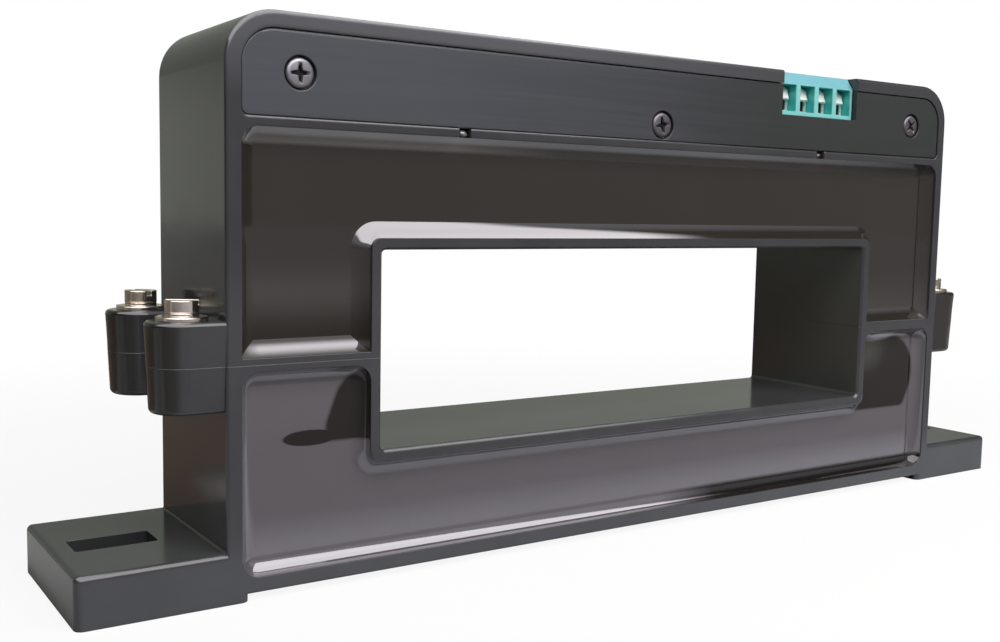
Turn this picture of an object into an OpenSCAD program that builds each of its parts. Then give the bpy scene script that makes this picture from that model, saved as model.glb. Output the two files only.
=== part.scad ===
// Split-core Hall effect current sensor with a rectangular busbar window.
// The front rims face -Y, the busbar passes along Y, and the feet stand on z = 0.
// The two housings are trays. They are drawn lying on their backs and then stood up,
// so in a tray the plan is X by height, and z counts from the back face to the front rim.

/* [Body] */
// Width across the side faces
body_w = 234; // [232:1:238]
// Depth from the front rims to the back face
body_d = 44; // [42:1:46]
// Height of the top face above the mounting surface
body_top = 124; // [123:0.5:126]
// Gap under the body between the two feet
body_lift = 1.6; // [1:0.1:2.4]
// Radius of the two top corners, seen from the front
corner_r = 11; // [9:0.5:12]
// Rounding of the outer front edges
edge_r = 0.8; // [0.5:0.1:1.6]
// Rounding of the outer back edges
back_edge_r = 1; // [0.5:0.25:2]
// Thickness of the outer walls
wall = 3.4; // [3:0.1:3.6]
// Thickness of the back walls
back_wall = 3; // [2.5:0.1:3.2]

/* [Busbar window] */
// Width of the window
window_w = 162; // [158:1:164]
// Height of the window
window_h = 45; // [44:0.5:46]
// Height of the window's lower edge
window_sill = 29.6; // [29:0.1:30]
// Thickness of the wall round the window
frame_wall = 2.6; // [2.2:0.1:2.8]

/* [Parting] */
// Height of the plane where the two housings meet
parting_z = 50.6; // [50:0.1:51.2]
// Thickness of each wall at the parting plane
parting_wall = 1.4; // [1.2:0.1:2]

/* [Clamp lugs] */
// Radius of a lug's nose at the parting plane
lug_r = 6.9; // [6.6:0.1:7.2]
// Growth of that radius up the upper half lug, and its loss down the lower one
lug_draft = 0.45; // [0.2:0.05:0.6]
// Distance of the bolt axis from the side face
lug_reach = 6.75; // [6:0.25:8]
// Height of the upper half lug
lug_h = 9.3; // [8.8:0.1:9.8]
// Height of the lower half lug
lower_lug_h = 9.8; // [9:0.1:10.2]
// Gap between a lug and the nearer face of the body
lug_inset = 0.6; // [0.6:0.1:2]

/* [Feet] */
// Length of a foot beyond the side face
foot_reach = 30.8; // [28:0.2:34]
// Height of a foot
foot_h = 11; // [10:0.5:12]
// Length of a foot's slot along X
slot_l = 17.5; // [14:0.5:18]
// Width of a foot's slot
slot_w = 9; // [6:0.5:10]
// Distance of the slot's centre from the side face
slot_reach = 17.75; // [15:0.25:18]

/* [Electronics] */
// Height of the partition's upper face, which the cover stands on
partition_top = 102.2; // [101.8:0.1:102.6]
// Thickness of the partition
partition_t = 2; // [1.6:0.1:2.4]
// Thickness of the cover
cover_t = 3; // [2.5:0.1:3]
// Depth of the cover's face behind the rims
cover_recess = 0.3; // [0.3:0.1:0.8]
// Distance of the terminal block from the middle
terminal_x = 59.4; // [58:0.2:60]
// Distance between two poles of the terminal block
pole_pitch = 7.62; // [7.5:0.01:7.62]

/* [Resin] */
// Depth of the resin's flat surface below the rims
resin_drop = 3.2; // [3:0.1:3.4]
// Width of the resin's meniscus along the walls
meniscus_w = 3.6; // [3.2:0.1:3.6]
// Rise of the meniscus in the upper tray
upper_rise = 2.3; // [2:0.1:2.5]
// Rise of the meniscus in the lower tray
lower_rise = 2.8; // [2.7:0.1:2.9]

/* [Hidden] */
$fn = 48;

// Overshoot of cutting tools, and the gap of a screw in its thread
cut = 1;
thread_fit = 0.05;

// Body and window
half_w = body_w / 2;
half_d = body_d / 2;
cavity_x = half_w - wall;
window_x = window_w / 2;
window_corner_r = 1;
window_lip = 0.6;
lower_corner_r = 3;
window_lintel = window_sill + window_h;
frame_x = window_x + frame_wall;
frame_bottom = window_sill - frame_wall;
frame_top = window_lintel + frame_wall;
frame_corner_r = 2.4;

// Pockets of the two trays, as heights above the mounting surface
lower_floor = body_lift + wall;
lower_roof = parting_z - parting_wall;
upper_floor = parting_z + parting_wall;
upper_roof = partition_top - partition_t;
pocket_r = meniscus_w + 0.3;
resin_z = body_d - resin_drop;
upper_hollow_r = 8.4;
lower_hollow_r = 3.8;

// Cover, its seat and its screws
cover_top = body_top - wall - 0.2;
cover_gap = 0.15;
cover_ledge = 2;
cover_seat_z = body_d - cover_recess - cover_t;
cover_face_z = body_d - cover_recess;
cover_bottom_r = 1.5;
cover_bevel = 0.2;
screw_x = 100.5;
screw_y = 111.6;
middle_screw_y = 106.4;
screw_head_d = 6.4;
screw_head_h = 1.8;
screw_head_r = 0.8;
screw_recess_d = 7.4;
screw_shank_d = 3.4;
screw_thread_d = 2.9;
screw_l = 13;
boss_r = 4.4;
pilot_depth = 16;

// Circuit board, lying level, and its card guides
board_top = 112;
board_t = 1.6;
board_left = 14;
board_right = 91;
board_front = -16.5;
board_back = 16;
guide_w = 5;
guide_h = 5.2;
guide_grip = 2;

// Terminal block and its notch
poles = 4;
block_l = poles * pole_pitch;
block_front = 1.9 - half_d;
block_d = 11;
block_h = 12;
block_shoulder_h = 3.2;
block_shoulder_d = 2;
pole_y = block_front + 5.6;
cell_w = 5.9;
cell_h = 7.4;
cell_lift = 1.1;
cell_depth = 9.2;
pin_hole_d = 1.4;
pin_d = 1.1;
notch_w = block_l + 0.6;
notch_d = 14;
notch_sill = board_top - 0.2;

// Magnetic core and Hall elements
core_w = 16;
core_x = 90;
core_in_r = 2;
core_z = 6;
core_d = 26;
core_in_top = 81;
core_in_bottom = 23.8;
core_gap_top = 55.6;
core_gap_bottom = 48;
rib_w = 4;
rib_x = 60;
hall_x = core_x + core_w / 2;
hall_z = core_z + core_d / 2;
hall_board_t = 1;
hall_board_top = upper_floor + hall_board_t;

// Flat leads, bent in the plane of the tray
lead_t = 1;
lead_w = 3;
lead_z = 25.5;
lead_bend = 2;
lead_x = 108.4;
lead_run_y = 98.6;
wire_x = 60;
wire_notch_w = 3.1;
wire_notch_z = 25;

// Lugs, bolts, washers and inserts
lug_x = half_w + lug_reach;
lug_y = half_d - lug_inset - lug_r;
lug_edge_r = 0.9;
lower_lug_edge_r = 1.2;
nose_shift = 0.45;
bolt_d = 4;
bolt_head_d = 7;
bolt_head_h = 2.6;
bolt_slot_w = 1.2;
bolt_slot_d = 1.1;
bolt_hole_d = 4.5;
bolt_reach = 7;
flat_washer_d = 10.7;
flat_washer_t = 0.9;
spring_washer_d = 6.9;
spring_washer_t = 0.8;
spring_split = 0.6;
insert_d = 5.6;
insert_l = 7.6;

// Feet
foot_tuck = 5;
foot_corner_r = 1.8;
foot_square_d = 12;
foot_edge_r = 1.2;
foot_fillet = 0.5;
slot_corner_r = 0.8;

function pole_x(i) = terminal_x + (i - (poles - 1) / 2) * pole_pitch;

// Tools for form

// Stands a tray up: its plan becomes the front view and its open side faces -Y
module stand_up() {
    translate([0, half_d, 0]) rotate([90, 0, 0]) children();
}

// Outline with round corners, standing on y = 0 and centred on x = 0
module arch(w, h, top_r, bottom_r) {
    translate([-w / 2, bottom_r]) square([w, h - top_r - bottom_r]);
    translate([-w / 2 + top_r, h - top_r]) square([w - 2 * top_r, top_r]);
    for (side = [-1, 1]) translate([side * (w / 2 - top_r), h - top_r]) circle(top_r);
    if (bottom_r > 0) {
        translate([-w / 2 + bottom_r, 0]) square([w - 2 * bottom_r, bottom_r]);
        for (side = [-1, 1]) translate([side * (w / 2 - bottom_r), bottom_r]) circle(bottom_r);
    }
}

// Section of a block's edge, with its outer corner round at the top and the bottom
module edge_section(reach, h, top_r, bottom_r) {
    translate([0, bottom_r]) square([reach, h - top_r - bottom_r]);
    if (top_r > 0) {
        translate([0, h - top_r]) square([reach - top_r, top_r]);
        translate([reach - top_r, h - top_r]) circle(top_r);
    }
    if (bottom_r > 0) {
        square([reach - bottom_r, bottom_r]);
        translate([reach - bottom_r, bottom_r]) circle(bottom_r);
    }
}

// Block with round corners in plan and a round edge at the top, the bottom or both
module soft_block(w, d, h, plan_r, top_r, bottom_r) {
    translate([plan_r - w / 2, plan_r - d / 2, 0])
        cube([w - 2 * plan_r, d - 2 * plan_r, h]);
    for (turn = [0, 1]) mirror([0, turn, 0]) translate([0, d / 2 - plan_r, 0])
        rotate([90, 0, 90]) linear_extrude(w - 2 * plan_r, center = true)
            edge_section(plan_r, h, top_r, bottom_r);
    for (turn = [0, 1]) mirror([turn, 0, 0]) translate([w / 2 - plan_r, 0, 0])
        rotate([90, 0, 0]) linear_extrude(d - 2 * plan_r, center = true)
            edge_section(plan_r, h, top_r, bottom_r);
    for (flip_x = [0, 1], flip_y = [0, 1]) mirror([flip_x, 0, 0]) mirror([0, flip_y, 0])
        translate([w / 2 - plan_r, d / 2 - plan_r, 0]) rotate_extrude(angle = 90)
            edge_section(plan_r, h, top_r, bottom_r);
}

// Corner left between two square walls by a round of radius r
module cove_section(r) {
    difference() {
        square(r);
        translate([r, r]) circle(r);
    }
}

// Section of a meniscus that rises by a height at the wall and is hollow by an arc of radius r
module meniscus_section(rise, r) {
    chord = sqrt(meniscus_w * meniscus_w + rise * rise);
    depth = sqrt(r * r - chord * chord / 4);
    difference() {
        polygon([[0, 0], [meniscus_w, 0], [0, rise]]);
        translate([meniscus_w / 2 + depth * rise / chord, rise / 2 + depth * meniscus_w / chord])
            circle(r);
    }
}

// Meniscus along a straight wall, from the origin along X, with the wall below y = 0
module meniscus_run(length, rise, r) {
    rotate([90, 0, 90]) linear_extrude(length) meniscus_section(rise, r);
}

// Meniscus round the inside of a pocket's corner, in the quarter between +X and +Y
module meniscus_inside(rise, r) {
    rotate_extrude(angle = 90) translate([pocket_r, 0]) mirror([1, 0]) meniscus_section(rise, r);
}

// Meniscus round the outside of the frame's corner, in the quarter between +X and +Y
module meniscus_outside(rise, r) {
    rotate_extrude(angle = 90) translate([frame_corner_r, 0]) meniscus_section(rise, r);
}

// Section that takes off an edge at 45 degrees. The solid lies at +X of the origin, or at -X
module bevel_section(size, inward) {
    past = 0.4;
    mirror([inward ? 1 : 0, 0])
        polygon([[-past, -size - past], [size + past, past], [-past, past]]);
}

// Loop that takes off the upper edge of an arch, inward on a plate or outward on an opening
module bevel_loop(w, h, top_r, bottom_r, size, inward) {
    translate([0, h, 0]) rotate([90, 0, 90]) linear_extrude(w - 2 * top_r, center = true)
        bevel_section(size, inward);
    mirror([0, 1, 0]) rotate([90, 0, 90]) linear_extrude(w - 2 * bottom_r, center = true)
        bevel_section(size, inward);
    for (side = [0, 1]) mirror([side, 0, 0]) {
        translate([w / 2, (h + bottom_r - top_r) / 2, 0])
            rotate([90, 0, 0]) linear_extrude(h - top_r - bottom_r, center = true)
                bevel_section(size, inward);
        translate([w / 2 - top_r, h - top_r, 0]) rotate_extrude(angle = 90)
            translate([top_r, 0]) bevel_section(size, inward);
        translate([w / 2 - bottom_r, bottom_r, 0]) rotate([0, 0, -90]) rotate_extrude(angle = 90)
            translate([bottom_r, 0]) bevel_section(size, inward);
    }
}

// Housings

// Closed form that one housing is cut from
module housing_blank(bottom, top, plan_r) {
    translate([0, (bottom + top) / 2, 0])
        soft_block(body_w, top - bottom, body_d, plan_r, edge_r, back_edge_r);
}

module busbar_window() {
    translate([0, window_sill, -cut]) linear_extrude(body_d + 2 * cut)
        arch(window_w, window_h, window_corner_r, window_corner_r);
    for (face = [0, 1]) translate([0, window_sill, face * body_d]) mirror([0, 0, 1 - face])
        bevel_loop(window_w, window_h, window_corner_r, window_corner_r, window_lip, false);
}

// Pocket for the upper half of the core, in plan
module upper_pocket() {
    difference() {
        translate([0, upper_floor]) arch(2 * cavity_x, upper_roof - upper_floor, pocket_r, 0);
        arch(2 * frame_x, frame_top, frame_corner_r, frame_corner_r);
    }
}

// Pocket for the lower half of the core, in plan
module lower_pocket() {
    difference() {
        translate([0, lower_floor])
            arch(2 * cavity_x, lower_roof - lower_floor, pocket_r, pocket_r);
        translate([0, frame_bottom])
            arch(2 * frame_x, body_top, frame_corner_r, frame_corner_r);
        for (side = [0, 1]) mirror([side, 0])
            translate([frame_x, lower_roof]) mirror([0, 1]) cove_section(pocket_r);
    }
}

// Ribs on the back wall that a core half rests on
module core_ribs(y) {
    for (x = [-rib_x, 0, rib_x])
        translate([x - rib_w / 2, y, back_wall - cut]) cube([rib_w, core_w, core_z - back_wall + cut]);
}

// Outline of the electronics compartment, drawn in by a margin at the sides and the top
module compartment(margin, sill, bottom_r) {
    translate([0, sill])
        arch(2 * (cavity_x - margin), cover_top - margin - sill, corner_r - wall - margin, bottom_r);
}

module screw_places() {
    for (side = [-1, 1]) translate([side * screw_x, screw_y, 0]) children();
    translate([0, middle_screw_y, 0]) children();
}

// Ribs with a groove each, which the circuit board slides into from the front
module card_guides() {
    for (x = [board_left + guide_grip - guide_w, board_right - guide_grip])
        translate([x, board_top - (board_t + guide_h) / 2, back_wall - cut])
            cube([guide_w, guide_h, half_d - board_front - back_wall + cut]);
}

// Space that the circuit board fills
module board_slot() {
    translate([board_left, board_top - board_t, half_d - board_back])
        cube([board_right - board_left, board_t, body_d]);
}

// Opening in the top wall and the cover for the terminal block
module terminal_notch() {
    translate([terminal_x - notch_w / 2, notch_sill, body_d - notch_d])
        cube([notch_w, body_top, notch_d + cut]);
}

// Notches in the partition for the leads, grown by a margin along the wire
module wire_notches(margin, depth) {
    for (side = [-1, 1])
        translate([side * wire_x - wire_notch_w / 2, upper_roof - margin, wire_notch_z])
            cube([wire_notch_w, partition_t + 2 * margin, depth]);
}

// Section of a half lug of height h that grows by a draft over it, its far edge rounded by r.
// The round stands out by a hair, so that it crosses the slanting face and doesn't just touch it
module lug_section(h, draft, r) {
    hair = 0.01;
    lean = draft / h;
    edge_z = h - r;
    slant_x = lug_r + lean * edge_z;
    edge_x = slant_x - (r - hair) * sqrt(1 + lean * lean);
    polygon([[0, 0], [lug_r, 0], [slant_x, edge_z], [edge_x, edge_z], [edge_x, h], [0, h]]);
    translate([edge_x, edge_z]) circle(r);
}

// Half lug standing on the parting plane, with its bolt axis at the origin and its nose at +X
module half_lug(h, draft, r) {
    root = lug_reach + wall / 2;
    translate([nose_shift, 0, 0]) rotate([0, 0, -90]) rotate_extrude(angle = 180)
        lug_section(h, draft, r);
    for (turn = [0, 1]) mirror([0, turn, 0]) translate([-root, 0, 0])
        rotate([90, 0, 90]) linear_extrude(root + nose_shift) lug_section(h, draft, r);
}

// Places children at one bolt axis on the parting plane, with +X outward
module at_lug(side, end) {
    mirror([side < 0 ? 1 : 0, 0, 0]) translate([lug_x, end * lug_y, parting_z]) children();
}

module at_every_lug() {
    for (side = [-1, 1], end = [-1, 1]) at_lug(side, end) children();
}

module upper_housing() {
    color("#2b2b2d") difference() {
        union() {
            stand_up() difference() {
                housing_blank(parting_z - 2 * corner_r, body_top, corner_r);
                translate([-body_w, -body_w, -cut])
                    cube([2 * body_w, body_w + parting_z, body_d + 2 * cut]);
                busbar_window();
                difference() {
                    translate([0, 0, back_wall]) linear_extrude(body_d) upper_pocket();
                    core_ribs(core_in_top);
                }
                difference() {
                    translate([0, 0, back_wall]) linear_extrude(body_d)
                        compartment(cover_ledge, partition_top, cover_bottom_r);
                    screw_places() translate([0, 0, back_wall - cut])
                        cylinder(r = boss_r, h = cover_seat_z - back_wall + cut);
                    card_guides();
                }
                translate([0, 0, cover_seat_z]) linear_extrude(body_d)
                    compartment(0, partition_top, cover_bottom_r);
                board_slot();
                screw_places() translate([0, 0, cover_seat_z - pilot_depth])
                    cylinder(d = screw_thread_d + 2 * thread_fit, h = pilot_depth + cut);
                terminal_notch();
                wire_notches(cut, body_d);
            }
            at_every_lug() half_lug(lug_h, lug_draft, lug_edge_r);
        }
        at_every_lug() translate([0, 0, -cut]) cylinder(d = bolt_hole_d, h = lug_h + 2 * cut);
    }
}

// Foot on the mounting surface, beyond the side face at +X
module foot() {
    length = foot_reach + foot_tuck;
    difference() {
        union() {
            translate([half_w - foot_tuck + length / 2, -foot_square_d / 2, 0])
                soft_block(length, body_d - foot_square_d, foot_h, foot_corner_r, foot_edge_r, 0);
            translate([half_w - foot_tuck, half_d, 0]) rotate([90, 0, 0])
                linear_extrude(foot_square_d + 2 * foot_corner_r)
                    edge_section(length, foot_h, foot_edge_r, 0);
            translate([half_w, 0, foot_h]) rotate([90, 0, 0])
                linear_extrude(body_d - 2 * edge_r, center = true) cove_section(foot_fillet);
        }
        translate([half_w + slot_reach, -slot_w / 2, -cut]) linear_extrude(foot_h + 2 * cut)
            arch(slot_l, slot_w, slot_corner_r, slot_corner_r);
    }
}

module lower_housing() {
    color("#2a2929") difference() {
        union() {
            stand_up() difference() {
                housing_blank(body_lift, parting_z + 2 * lower_corner_r, lower_corner_r);
                translate([-body_w, parting_z, -cut])
                    cube([2 * body_w, body_w, body_d + 2 * cut]);
            }
            for (side = [0, 1]) mirror([side, 0, 0]) foot();
            at_every_lug() mirror([0, 0, 1]) half_lug(lower_lug_h, -lug_draft, lower_lug_edge_r);
        }
        stand_up() {
            busbar_window();
            difference() {
                translate([0, 0, back_wall]) linear_extrude(body_d) lower_pocket();
                core_ribs(core_in_bottom - core_w);
            }
        }
        at_every_lug() translate([0, 0, -insert_l])
            cylinder(d = insert_d + 2 * thread_fit, h = insert_l + cut);
    }
}

// Cover and its screws

module terminal_cover() {
    plate_w = 2 * (cavity_x - cover_gap);
    plate_h = cover_top - partition_top - 2 * cover_gap;
    color("#333335") stand_up() difference() {
        translate([0, 0, cover_seat_z]) linear_extrude(cover_t)
            compartment(cover_gap, partition_top + cover_gap, cover_bottom_r);
        translate([0, partition_top + cover_gap, cover_face_z])
            bevel_loop(plate_w, plate_h, corner_r - wall - cover_gap, cover_bottom_r, cover_bevel, true);
        terminal_notch();
        screw_places() {
            translate([0, 0, cover_seat_z - cut]) cylinder(d = screw_shank_d, h = cover_t + cut);
            translate([0, 0, cover_face_z - screw_head_h])
                cylinder(d = screw_recess_d, h = screw_head_h + cut);
        }
    }
}

// Pan-head screw with a cross recess, its head sunk in the cover
module cover_screw() {
    cross_w = 1.2;
    cross_l = 4.4;
    cross_d = 1.1;
    color("#3a3a3c") stand_up() difference() {
        union() {
            translate([0, 0, cover_face_z - screw_head_h]) rotate_extrude()
                edge_section(screw_head_d / 2, screw_head_h, screw_head_r, 0);
            translate([0, 0, cover_face_z - screw_l]) cylinder(d = screw_thread_d, h = screw_l - 0.5);
        }
        for (turn = [0, 90]) translate([0, 0, cover_face_z - cross_d]) rotate(turn)
            translate([-cross_l / 2, -cross_w / 2, 0]) cube([cross_l, cross_w, cross_d + cut]);
    }
}

module cover_screw_left() {
    translate([-screw_x, 0, screw_y]) cover_screw();
}

module cover_screw_middle() {
    translate([0, 0, middle_screw_y]) cover_screw();
}

module cover_screw_right() {
    translate([screw_x, 0, screw_y]) cover_screw();
}

// Resin

// Meniscus along the walls of the upper pocket, for its left half. It is mitred at the floor
module upper_meniscus(rise, r) {
    left = pocket_r - cavity_x;
    high = upper_roof - pocket_r;
    post_x = frame_corner_r - frame_x;
    post_y = frame_top - frame_corner_r;
    translate([-cavity_x, upper_floor, 0]) meniscus_run(cavity_x - frame_x, rise, r);
    translate([-cavity_x, high, 0]) rotate(270) meniscus_run(high - upper_floor, rise, r);
    translate([left, high, 0]) rotate(90) meniscus_inside(rise, r);
    translate([0, upper_roof, 0]) rotate(180) meniscus_run(-left, rise, r);
    translate([-frame_x, upper_floor, 0]) rotate(90) meniscus_run(post_y - upper_floor, rise, r);
    translate([post_x, post_y, 0]) rotate(90) meniscus_outside(rise, r);
    translate([post_x, frame_top, 0]) meniscus_run(-post_x, rise, r);
}

// Meniscus along the walls of the lower pocket, for its left half
module lower_meniscus(rise, r) {
    left = pocket_r - cavity_x;
    right = -frame_x - pocket_r;
    low = lower_floor + pocket_r;
    high = lower_roof - pocket_r;
    post_x = frame_corner_r - frame_x;
    post_y = frame_bottom + frame_corner_r;
    translate([right, lower_roof, 0]) rotate(180) meniscus_run(right - left, rise, r);
    translate([left, high, 0]) rotate(90) meniscus_inside(rise, r);
    translate([right, high, 0]) meniscus_inside(rise, r);
    translate([-cavity_x, high, 0]) rotate(270) meniscus_run(high - low, rise, r);
    translate([left, low, 0]) rotate(180) meniscus_inside(rise, r);
    translate([left, lower_floor, 0]) meniscus_run(-left, rise, r);
    translate([-frame_x, post_y, 0]) rotate(90) meniscus_run(high - post_y, rise, r);
    translate([post_x, post_y, 0]) rotate(180) meniscus_outside(rise, r);
    translate([0, frame_bottom, 0]) rotate(180) meniscus_run(-post_x, rise, r);
}

module upper_potting() {
    color("#3b302b") stand_up() difference() {
        union() {
            translate([0, 0, back_wall]) linear_extrude(resin_z - back_wall) upper_pocket();
            for (side = [0, 1]) mirror([side, 0, 0]) translate([0, 0, resin_z])
                upper_meniscus(upper_rise, upper_hollow_r);
            wire_notches(0, resin_z - wire_notch_z);
        }
        core_ribs(core_in_top);
        core_slice(core_gap_top, body_top);
        for (side = [0, 1]) mirror([side, 0, 0]) {
            hall_board();
            hall_element();
        }
        left_lead();
        right_lead();
    }
}

module lower_potting() {
    color("#3d3431") stand_up() difference() {
        union() {
            translate([0, 0, back_wall]) linear_extrude(resin_z - back_wall) lower_pocket();
            for (side = [0, 1]) mirror([side, 0, 0]) translate([0, 0, resin_z])
                lower_meniscus(lower_rise, lower_hollow_r);
        }
        core_ribs(core_in_bottom - core_w);
        core_slice(0, core_gap_bottom);
    }
}

// Magnetic core and Hall elements

// Rectangular ring of wound strip, in plan
module core_ring() {
    outer_r = core_in_r + core_w;
    inner_h = core_in_top - core_in_bottom;
    difference() {
        translate([0, core_in_bottom - core_w])
            arch(2 * (core_x + core_w), inner_h + 2 * core_w, outer_r, outer_r);
        translate([0, core_in_bottom]) arch(2 * core_x, inner_h, core_in_r, core_in_r);
    }
}

// Part of the ring between two heights, at its place in the trays
module core_slice(bottom, top) {
    translate([0, 0, core_z]) linear_extrude(core_d) intersection() {
        core_ring();
        translate([-body_w, bottom]) square([2 * body_w, top - bottom]);
    }
}

module upper_core() {
    color("#7d8288") stand_up() core_slice(core_gap_top, body_top);
}

module lower_core() {
    color("#7d8288") stand_up() core_slice(0, core_gap_bottom);
}

// Carrier board on the floor of the right column
module hall_board() {
    board_w = 16.2;
    board_d = 17;
    translate([hall_x - 5, upper_floor, hall_z - 6]) cube([board_w, hall_board_t, board_d]);
}

// Hall element in the right column's air gap, with three bent legs
module hall_element() {
    chip_w = 4.1;
    chip_h = 1.5;
    chip_d = 3;
    leg = 0.4;
    leg_rise = 0.6;
    leg_pitch = 1.27;
    leg_reach = 3;
    translate([hall_x, hall_board_top, hall_z]) {
        translate([-chip_w / 2, 0, -chip_d / 2]) cube([chip_w, chip_h, chip_d]);
        for (i = [-1:1]) translate([chip_w / 2 - leg, 0, i * leg_pitch - leg / 2]) {
            translate([0, leg_rise, 0]) cube([leg_reach, leg, leg]);
            translate([leg_reach - leg, 0, 0]) cube([leg, leg_rise + leg, leg]);
        }
    }
}

module hall_element_left() {
    color("#1c1c1e") stand_up() mirror([1, 0, 0]) hall_element();
}

module hall_element_right() {
    color("#1c1c1e") stand_up() hall_element();
}

module hall_board_left() {
    color("#1f6b3a") stand_up() mirror([1, 0, 0]) hall_board();
}

module hall_board_right() {
    color("#1f6b3a") stand_up() hall_board();
}

// Quarter bend of a flat lead round the origin, from +X to +Y, in plan
module lead_turn() {
    intersection() {
        difference() {
            circle(lead_bend + lead_t / 2);
            circle(lead_bend - lead_t / 2);
        }
        square(2 * lead_bend);
    }
}

// Stretch of a flat lead between two heights at one x, in plan
module lead_rise(x, y0, y1) {
    translate([x - lead_t / 2, y0]) square([lead_t, y1 - y0]);
}

// Stretch of a flat lead between two x at one height, in plan
module lead_across(y, x0, x1) {
    translate([x0, y - lead_t / 2]) square([x1 - x0, lead_t]);
}

// Run from the right carrier board up the column and along to the right wire notch
module lead_to_notch() {
    lead_rise(lead_x, hall_board_top, lead_run_y - lead_bend);
    translate([lead_x - lead_bend, lead_run_y - lead_bend]) lead_turn();
    lead_across(lead_run_y, wire_x + lead_bend, lead_x - lead_bend);
    translate([wire_x + lead_bend, lead_run_y + lead_bend]) rotate(180) lead_turn();
}

module right_lead() {
    translate([0, 0, lead_z]) linear_extrude(lead_w) {
        lead_to_notch();
        lead_rise(wire_x, lead_run_y + lead_bend, board_top - board_t);
    }
}

// The left lead crosses over the middle screw boss to the board's upper face
module left_lead() {
    cross_y = board_top + lead_bend + 0.5;
    landing_x = board_left + 4;
    translate([0, 0, lead_z]) linear_extrude(lead_w) {
        mirror([1, 0]) lead_to_notch();
        lead_rise(-wire_x, lead_run_y + lead_bend, cross_y - lead_bend);
        translate([lead_bend - wire_x, cross_y - lead_bend]) rotate(90) lead_turn();
        lead_across(cross_y, lead_bend - wire_x, landing_x - lead_bend);
        translate([landing_x - lead_bend, cross_y - lead_bend]) lead_turn();
        lead_rise(landing_x, board_top, cross_y - lead_bend);
    }
}

module hall_lead_left() {
    color("#b9b9bd") stand_up() left_lead();
}

module hall_lead_right() {
    color("#b9b9bd") stand_up() right_lead();
}

// Circuit board and what stands on it

module circuit_board() {
    color("#1f6b3a") difference() {
        translate([board_left, board_front, board_top - board_t])
            cube([board_right - board_left, board_back - board_front, board_t]);
        for (i = [0:poles - 1]) translate([pole_x(i), pole_y, board_top - board_t - cut])
            cylinder(d = pin_hole_d, h = board_t + 2 * cut);
    }
}

module amplifier_chip() {
    pitch = 2.54;
    color("#1c1c1e") translate([36, 8, board_top]) {
        translate([-4.9, -3.2, 0.6]) cube([9.8, 6.4, 3.2]);
        for (side = [-1, 1], i = [-1.5:1.5])
            translate([i * pitch - 0.25, side * 3.6 - 0.5, 0]) cube([0.5, 1, 2]);
    }
}

module voltage_regulator() {
    color("#1c1c1e") translate([84, -8, board_top]) {
        translate([-3.3, -3.3, 0]) cube([6.6, 6.6, 2.3]);
        translate([-2.7, 3.2, 0]) cube([5.4, 1.6, 0.6]);
    }
}

// Square single-turn trimmer with a slotted rotor
module trimmer() {
    side = 6.6;
    body_h = 4.2;
    rotor_h = 0.7;
    difference() {
        union() {
            translate([-side / 2, -side / 2, 0]) cube([side, side, body_h]);
            translate([0, 0, body_h]) cylinder(d = 4.6, h = rotor_h);
        }
        translate([-2.6, -0.35, body_h + 0.1]) cube([5.2, 0.7, 1]);
    }
}

module gain_trimmer() {
    color("#2f63b5") translate([26, -9, board_top]) trimmer();
}

module offset_trimmer() {
    color("#2f63b5") translate([36, -9, board_top]) trimmer();
}

// Can capacitor on its square base
module can_capacitor() {
    translate([-3.3, -3.3, 0]) cube([6.6, 6.6, 0.8]);
    cylinder(d = 6.3, h = 5.4);
}

module smoothing_capacitor_left() {
    color("#b7babd") translate([52, 8, board_top]) can_capacitor();
}

module smoothing_capacitor_right() {
    color("#b7babd") translate([62, 8, board_top]) can_capacitor();
}

module signal_resistors() {
    color("#8a6b4a") for (i = [0:3]) translate([72 + 4 * i, 8, board_top])
        translate([-1, -3, 0]) cube([2, 6, 0.9]);
}

// Terminal block

module terminal_block() {
    shoulder_y = block_front + block_shoulder_d;
    back = block_front + block_d;
    top = board_top + block_h;
    color("#2e9a98") difference() {
        translate([terminal_x - block_l / 2, 0, 0]) rotate([90, 0, 90]) linear_extrude(block_l)
            polygon([[block_front, board_top], [back, board_top], [back, top],
                [shoulder_y, top], [block_front, top - block_shoulder_h]]);
        for (i = [0:poles - 1]) translate([pole_x(i), 0, board_top]) {
            translate([-cell_w / 2, block_front - cut, cell_lift])
                cube([cell_w, cell_depth + cut, cell_h]);
            translate([0, pole_y, cell_lift]) cylinder(d = 4.4, h = block_h);
            translate([0, pole_y, -cut]) cylinder(d = pin_hole_d, h = cell_lift + 2 * cut);
        }
    }
}

// Clamp cages, each with its solder pin through the board
module terminal_clamps() {
    cage_w = 5.4;
    cage_d = 5.4;
    cage_h = 6.4;
    mouth_w = 3.6;
    mouth_h = 3;
    mouth_lift = 0.5;
    pin_l = cell_lift + board_t + 1.5;
    color("#c9cbcd") for (i = [0:poles - 1]) translate([pole_x(i), pole_y, board_top + cell_lift])
        difference() {
            union() {
                translate([-cage_w / 2, -cage_d / 2, 0]) cube([cage_w, cage_d, cage_h]);
                translate([0, 0, -pin_l]) cylinder(d = pin_d, h = pin_l + 0.5);
            }
            translate([-mouth_w / 2, -cage_d, mouth_lift]) cube([mouth_w, 2 * cage_d, mouth_h]);
            translate([0, 0, mouth_lift + 1]) cylinder(d = 3, h = cage_h);
        }
}

// Slotted clamp screws in the wells on top of the block
module terminal_screws() {
    shank_d = 2.9;
    shank_l = 3;
    head_d = 4.1;
    head_h = 1.8;
    slot = 0.8;
    cage_top = board_top + cell_lift + 6.4;
    color("#c9cbcd") for (i = [0:poles - 1]) translate([pole_x(i), pole_y, cage_top])
        difference() {
            union() {
                translate([0, 0, -shank_l]) cylinder(d = shank_d, h = shank_l + 0.5);
                cylinder(d = head_d, h = head_h);
            }
            translate([-head_d, -slot / 2, head_h - 0.9]) cube([2 * head_d, slot, 2]);
        }
}

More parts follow.
